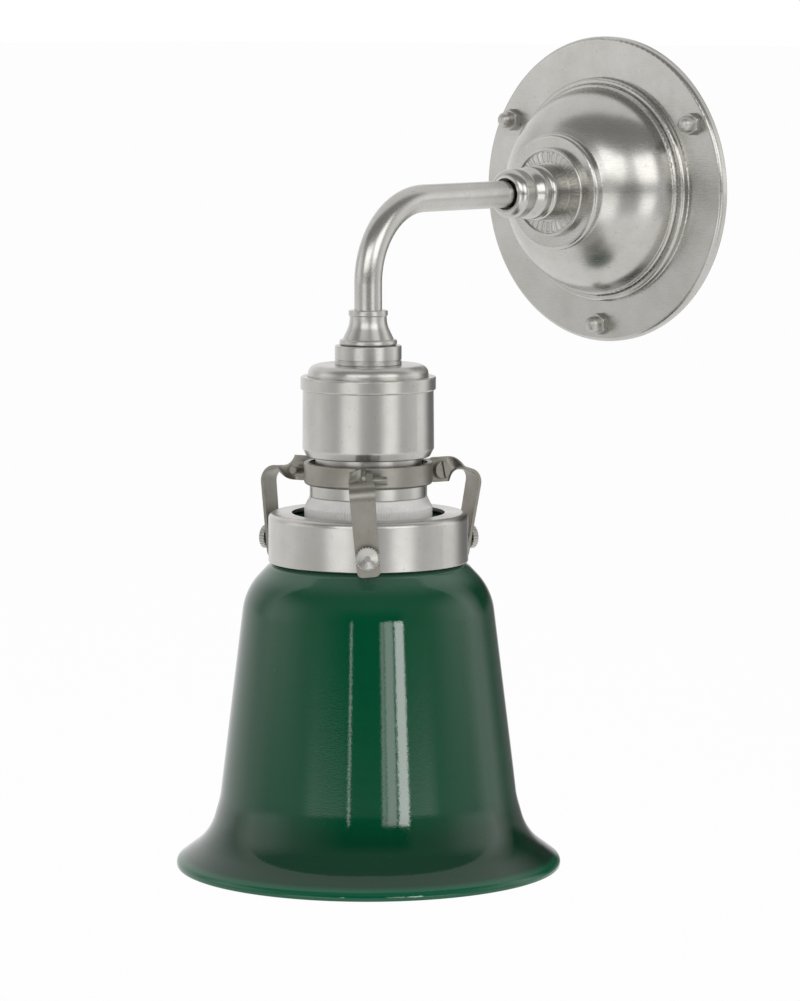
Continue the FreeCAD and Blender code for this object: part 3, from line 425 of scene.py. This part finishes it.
def metal(name, colour, rough, marks, cloud, turned=None, axis=None, scratches=0.0,
          edge=0.25 * MM, dull=(0.82, 0.80, 0.76), relief=None):
    """Plated or bare metal: fine tool marks, cloudy dulling, pits, scratches and softened edges."""
    made = bpy.data.materials.new(name)
    nodes = Nodes(made)
    shader = nodes.tree.nodes["Principled BSDF"]
    shader.inputs["Metallic"].default_value = 1.0
    where = plain(nodes)
    place = turned(nodes) if turned else where
    clouds = noise(nodes, where, scale=90, detail=3.0, rough=0.6)
    lines = noise(nodes, place, scale=2200, rough=0.6)
    tint = tuple(c * d for c, d in zip(colour, dull))
    base = nodes.mix(nodes.ramp(clouds, [(0.35, grey(0)), (0.75, grey(0.6))]), colour, tint)
    specks = noise(nodes, where, scale=900, detail=1.0)
    pits = nodes.ramp(specks, [(0.68, grey(0)), (0.74, grey(0.35))])
    base = nodes.mix(pits, base, tuple(c * 0.6 for c in colour))
    nodes.feed(base, shader.inputs["Base Color"])
    spread = nodes.math("MULTIPLY_ADD", clouds, cloud * 2, rough - cloud)
    spread = nodes.math("MULTIPLY_ADD", lines, cloud, spread)
    if scratches:
        long_way = noise(nodes, where, scale=60, detail=6.0, rough=0.75, stretch=(1.0, 1.0, 9.0))
        cuts = nodes.ramp(long_way, [(0.495, grey(0)), (0.5, grey(1)), (0.505, grey(0))])
        spread = nodes.math("MULTIPLY_ADD", cuts, scratches, spread)
    nodes.feed(spread, shader.inputs["Roughness"])
    if axis:
        shader.inputs["Anisotropic"].default_value = 0.6
        shader.inputs["Anisotropic Rotation"].default_value = 0.25
        around = nodes.add("Tangent", direction_type="RADIAL", axis=axis)
        nodes.feed(around.outputs[0], shader.inputs["Tangent"])
    soft = nodes.add("Bevel", {"Radius": edge}, samples=4)
    surface = nodes.add("Bump", {"Height": lines, "Strength": marks, "Distance": FINE,
                                 "Normal": soft.outputs[0]})
    if relief:
        surface = nodes.add("Bump", {"Height": reeding(nodes, *relief), "Strength": 0.8,
                                     "Distance": 0.25 * MM, "Normal": surface.outputs[0]})
    nodes.feed(surface.outputs[0], shader.inputs["Normal"])
    return made


def ceramic(name, colour, rough, speck=0.1, coat=0.6):
    """Porcelain, cloudy and faintly rippled, with a glaze as strong as coat."""
    made = bpy.data.materials.new(name)
    nodes = Nodes(made)
    shader = nodes.tree.nodes["Principled BSDF"]
    where = plain(nodes)
    clouds = noise(nodes, where, scale=160, detail=4.0, rough=0.6)
    darker = tuple(c * 0.9 for c in colour)
    nodes.feed(nodes.mix(nodes.ramp(clouds, [(0.4, grey(0)), (0.7, grey(1))]), colour, darker),
               shader.inputs["Base Color"])
    nodes.feed(nodes.math("MULTIPLY_ADD", clouds, 0.12, rough - 0.06), shader.inputs["Roughness"])
    shader.inputs["Coat Weight"].default_value = coat
    shader.inputs["Coat Roughness"].default_value = 0.08
    bump = nodes.add("Bump", {"Height": noise(nodes, where, scale=1400), "Strength": speck,
                              "Distance": FINE})
    nodes.feed(bump.outputs[0], shader.inputs["Normal"])
    return made


def plastic(name, colour, rough):
    """Moulded plastic with a fine grain."""
    made = bpy.data.materials.new(name)
    nodes = Nodes(made)
    shader = nodes.tree.nodes["Principled BSDF"]
    where = plain(nodes)
    clouds = noise(nodes, where, scale=220, detail=3.0, rough=0.6)
    darker = tuple(c * 0.85 for c in colour)
    nodes.feed(nodes.mix(clouds, colour, darker), shader.inputs["Base Color"])
    nodes.feed(nodes.math("MULTIPLY_ADD", clouds, 0.1, rough - 0.05), shader.inputs["Roughness"])
    bump = nodes.add("Bump", {"Height": noise(nodes, where, scale=2500), "Strength": 0.3,
                              "Distance": 0.03 * MM})
    nodes.feed(bump.outputs[0], shader.inputs["Normal"])
    return made


GLASS_GREEN = (0.0, 0.076, 0.030)
PAINTED_RIM_LIGHT_AND_SEED_GREEN = (0.0, 0.095, 0.042)             # painted light on the rim, standing in for light through its thin edge, and the real colour of seeds in the glass
GLASS_DEPTH = ((0.0, 1.0), (0.45, 0.72), (0.7, 0.66), (1.0, 0.2))   # brightness, 1 is edge on
PAINTED_FLARE_SHADE_DROPS = (198 * MM, 214 * MM)          # between these drops the bell mouth's green is darkened, a painted shade
FLARE_SHADE = 0.55
PAINTED_RIM_LIGHT_DROPS = (223.6 * MM, 225.0 * MM)        # between these the rim's painted light starts
PAINTED_SHOULDER_LIGHT_DROPS = (125.5 * MM, 131.0 * MM)   # between these the painted light on the shoulder, a paler green, ends
PAINTED_SHOULDER_LIGHT = (0.045, 0.12, 0.08)
PAINTED_SHOULDER_LIGHT_SHARE = 0.8


def green_glass():
    """Thick deep green glass as an opaque glossy surface, darker where it is seen edge on; painted
    shade on the bell mouth, painted light on the shoulder and the rim.
    """
    made = bpy.data.materials.new("deep_green_glass")
    nodes = Nodes(made)
    shader = nodes.tree.nodes["Principled BSDF"]
    where = plain(nodes)
    drop = nodes.math("MULTIPLY", nodes.add("SeparateXYZ", {0: where}).outputs[2], -1.0)
    facing = nodes.add("LayerWeight", {"Blend": 0.5}).outputs["Facing"]
    depth = nodes.ramp(facing, [(place, grey(level)) for place, level in GLASS_DEPTH])
    green = nodes.mix(1.0, GLASS_GREEN, depth, "MULTIPLY")
    # painted shade: the bell mouth's green is darkened where lamps from above would light it
    painted_flare_shade = nodes.mix(nodes.step(drop, *PAINTED_FLARE_SHADE_DROPS), grey(1.0), grey(FLARE_SHADE))
    green = nodes.mix(1.0, green, painted_flare_shade, "MULTIPLY")
    streaks = noise(nodes, round_lamp(nodes), scale=1.0, detail=3.0, rough=0.6,
                    stretch=(90, 90, 240))
    darker = tuple(c * 0.8 for c in GLASS_GREEN)
    green = nodes.mix(nodes.ramp(streaks, [(0.45, grey(0)), (0.7, grey(0.25))]), green, darker)
    # painted light: the rim is made a brighter green, as if lit through its thin edge
    green = nodes.mix(nodes.step(drop, *PAINTED_RIM_LIGHT_DROPS), green, PAINTED_RIM_LIGHT_AND_SEED_GREEN)
    # painted light: the shoulder just under the gallery is made a paler green
    shoulder = nodes.step(drop, *PAINTED_SHOULDER_LIGHT_DROPS, first=PAINTED_SHOULDER_LIGHT_SHARE, last=0.0)
    green = nodes.mix(shoulder, green, PAINTED_SHOULDER_LIGHT)
    specks = noise(nodes, where, scale=420, detail=1.0)
    seeds = nodes.ramp(specks, [(0.76, grey(0)), (0.8, grey(0.5))])
    nodes.feed(nodes.mix(seeds, green, PAINTED_RIM_LIGHT_AND_SEED_GREEN), shader.inputs["Base Color"])
    shader.inputs["Roughness"].default_value = 0.05
    shader.inputs["IOR"].default_value = 1.5
    drawn = noise(nodes, where, scale=1.0, rough=0.6, stretch=(700, 700, 2400))
    bump = nodes.add("Bump", {"Height": drawn, "Strength": 0.8, "Distance": FINE})
    nodes.feed(bump.outputs[0], shader.inputs["Normal"])
    return made


NICKEL = (0.56, 0.55, 0.525)
STEEL = (0.33, 0.32, 0.285)
DISC_RIBS = (36, 10.6 * MM, 14.2 * MM)      # count, inner and outer radius of the boss's ribs


def make_materials():
    return {
        "polished_rose": metal("polished_rose", NICKEL, rough=0.24, marks=0.10, cloud=0.03,
                               turned=round_wall, scratches=0.15, edge=0.4 * MM),
        "dull_nuts": metal("dull_nuts", NICKEL, rough=0.4, marks=0.2, cloud=0.05, edge=0.5 * MM),
        "satin_lamp": metal("satin_lamp", NICKEL, rough=0.28, marks=0.5, cloud=0.05,
                            turned=round_lamp, axis="Z"),
        "satin_wall": metal("satin_wall", NICKEL, rough=0.22, marks=0.4, cloud=0.05,
                            turned=round_wall, relief=DISC_RIBS),
        "satin_tube": metal("satin_tube", NICKEL, rough=0.24, marks=0.2, cloud=0.05),
        "dull_steel": metal("dull_steel", STEEL, rough=0.34, marks=0.3, cloud=0.08,
                            scratches=0.2, dull=(0.7, 0.66, 0.58)),
        "zinc": metal("zinc", (0.62, 0.62, 0.60), rough=0.35, marks=0.3, cloud=0.08),
        "brass": metal("brass", (0.78, 0.60, 0.30), rough=0.28, marks=0.3, cloud=0.08),
        "porcelain": ceramic("porcelain", (0.60, 0.59, 0.575), rough=0.3),
        "raw_porcelain": ceramic("raw_porcelain", (0.80, 0.79, 0.75), rough=0.55, speck=0.2,
                                 coat=0.1),
        "block": plastic("block", (0.82, 0.81, 0.77), rough=0.5),
        "sheath": plastic("sheath", (0.05, 0.05, 0.05), rough=0.55),
        "core_brown": plastic("core_brown", (0.16, 0.06, 0.025), rough=0.4),
        "glass": green_glass(),
    }


WEARS = {
    "polished_rose": ("wall_rose",),
    "dull_nuts": ("cap_nuts",),
    "satin_wall": ("arm_boss",),
    "satin_tube": ("arm_tube", "thumbscrew_front", "thumbscrew_right", "thumbscrew_left"),
    "satin_lamp": ("ferrule_ring", "holder_cap", "holder_body", "holder_sleeve",
                   "gallery_ring"),
    "dull_steel": ("band_arc_right", "band_arc_back", "band_arc_left", "strap_front", "strap_right",
                   "strap_left", "clamp_screws", "clamp_nuts"),
    "zinc": ("wall_plate", "plate_studs", "arm_nipple", "lock_washer", "terminal_screws",
             "pillar_screws"),
    "brass": ("lock_nut", "terminal_poles", "entry_nut", "screw_shell", "contact_barrel",
              "centre_contact", "live_terminal", "neutral_terminal"),
    "raw_porcelain": ("holder_insulator",),
    "block": ("terminal_block",),
    "sheath": ("arm_flex",),
    "core_brown": ("rose_cores", "holder_cores"),
}


def dress_nodes(materials):
    """Each node that no turned mesh replaces gets its material."""
    for material, names in WEARS.items():
        for name in names:
            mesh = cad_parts[name].data
            mesh.materials.clear()
            mesh.materials.append(materials[material])


# ---- the glass, the ferrule and the ribbed porcelain -------------------------------------------
GALLERY_TOP = 106.2
GALLERY_BOTTOM = 123.0
GLASS_WALL = 3.0                            # thickness, up to the rim
GLASS_TOP = GALLERY_TOP + 2.2
GLASS_LIP_BOTTOM = GLASS_TOP + 3.0
GLASS_LIP_RADIUS = 31.4                     # the lip at the neck's top
GLASS_NECK_RADIUS = 29.3
GLASS_RIM = ((66.55, 226.2, 2.4), (65.9, 228.4, 0.44))      # its outer and its inner corner
GLASS_SIDE = (
    (GLASS_NECK_RADIUS, GALLERY_BOTTOM - 2.0, 1.6), (34.6, GALLERY_BOTTOM + 1.6, 6.0),
    (42.3, GALLERY_TOP + 26.5, 21.0), (51.1, 204.5, 30.0), (54.8, 217.4, 20.0), GLASS_RIM[0],
)
SLEEVE_BOTTOM = 100.55
FERRULE_TOP = 37.05
FERRULE_COLLAR = FERRULE_TOP + 1.9
FERRULE_BEAD = FERRULE_TOP + 9.9
FERRULE_FOOT = FERRULE_TOP + 11.9
FERRULE_SIDE = (
    (4.75, FERRULE_TOP), (6.7, FERRULE_TOP, 0.4), (6.7, FERRULE_COLLAR, 0.4),
    (6.3, FERRULE_COLLAR, 0.2), (6.45, FERRULE_TOP + 5.0, 9.0), (8.75, FERRULE_BEAD),
    (9.85, FERRULE_BEAD, 0.8), (9.85, FERRULE_FOOT, 0.8), (4.75, FERRULE_FOOT),
)
RIB_COUNT = 144
RIB_HEIGHT = 0.16
RIB_DROPS = (SLEEVE_BOTTOM + 1.0, SLEEVE_BOTTOM + 17.5)
RIB_RADIUS = 20.5                           # the smallest radius that has ribs
RIB_FADE = 1.5                              # drop over which the ribs rise to their full height
PORCELAIN_TOP = SLEEVE_BOTTOM - 4.9
PORCELAIN_BOTTOM = SLEEVE_BOTTOM + 18.7
PORCELAIN_SIDE = (
    (15.2, PORCELAIN_TOP, 0.5), (19.0, PORCELAIN_TOP, 0.5), (19.0, SLEEVE_BOTTOM),
    (20.2, SLEEVE_BOTTOM, 0.4), (20.6, RIB_DROPS[0]), (21.2, RIB_DROPS[0] + 1.3),
    (21.9, SLEEVE_BOTTOM + 3.6, 1.0), (21.9, PORCELAIN_BOTTOM, 1.6),
    (15.2, PORCELAIN_BOTTOM, 1.2),
)


def shifted(corners, thickness):
    """The open line of corners moved inwards by thickness, its fillets about their old centres."""
    moved = []
    for i, (radius, drop, fillet) in enumerate(corners):
        before = corners[max(i - 1, 0)]
        after = corners[min(i + 1, len(corners) - 1)]
        into = Vector((radius - before[0], drop - before[1]))
        out = Vector((after[0] - radius, after[1] - drop))
        into = (into if i else out).normalized()
        out = (out if i < len(corners) - 1 else into).normalized()
        side_in = Vector((-into.y, into.x))
        side_out = Vector((-out.y, out.x))
        move = (side_in + side_out) * thickness / (1 + side_in.dot(side_out))
        turn = into.x * out.y - into.y * out.x
        new_fillet = max(fillet - math.copysign(thickness, turn), 0.0) if fillet else 0.0
        moved.append((radius + move.x, drop + move.y, new_fillet))
    return moved


def make_shade(material):
    """Lipped neck, rounded shoulder, tapered wall and bell mouth, with a rounded rim."""
    side = list(GLASS_SIDE)
    skin = [(GLASS_LIP_RADIUS, GLASS_TOP, 0.9), (GLASS_LIP_RADIUS, GLASS_LIP_BOTTOM, 0.9),
            (GLASS_NECK_RADIUS, GLASS_LIP_BOTTOM + 0.8, 0.6)] + side
    inside = shifted([(GLASS_NECK_RADIUS, GLASS_TOP, 0.0)] + side, GLASS_WALL)
    inside[-1] = GLASS_RIM[1]
    return lathe("green_shade", rounded(skin + inside[::-1], bend=3.0), 256, material,
                 "glass_shade")


def make_ferrule(material):
    """Small collar, waist that widens to a foot, and a bead, round the arm's end."""
    lathe("turned_ferrule", rounded(FERRULE_SIDE), 128, material, "tube_ferrule")


def make_porcelain(material):
    """The lampholder's porcelain skirt, with fine upright ribs on its outside."""
    first, last = RIB_DROPS

    def ribs(turn, radius, drop):
        if drop < first or radius < RIB_RADIUS or drop > last:
            return 0.0
        fade = min(1.0, (drop - first) / RIB_FADE)
        return (abs(math.cos(turn * RIB_COUNT / 2)) - 1.0) * RIB_HEIGHT * fade

    lathe("ribbed_porcelain", rounded(PORCELAIN_SIDE), RIB_COUNT * 6, material,
          "porcelain_ring", ribs)


def main():
    bpy.context.scene.view_settings.view_transform = "Standard"
    make_camera()
    make_world()
    make_floor()
    make_cards()
    materials = make_materials()
    dress_nodes(materials)
    make_porcelain(materials["porcelain"])
    make_ferrule(materials["satin_lamp"])
    make_lights(make_shade(materials["glass"]))


main()
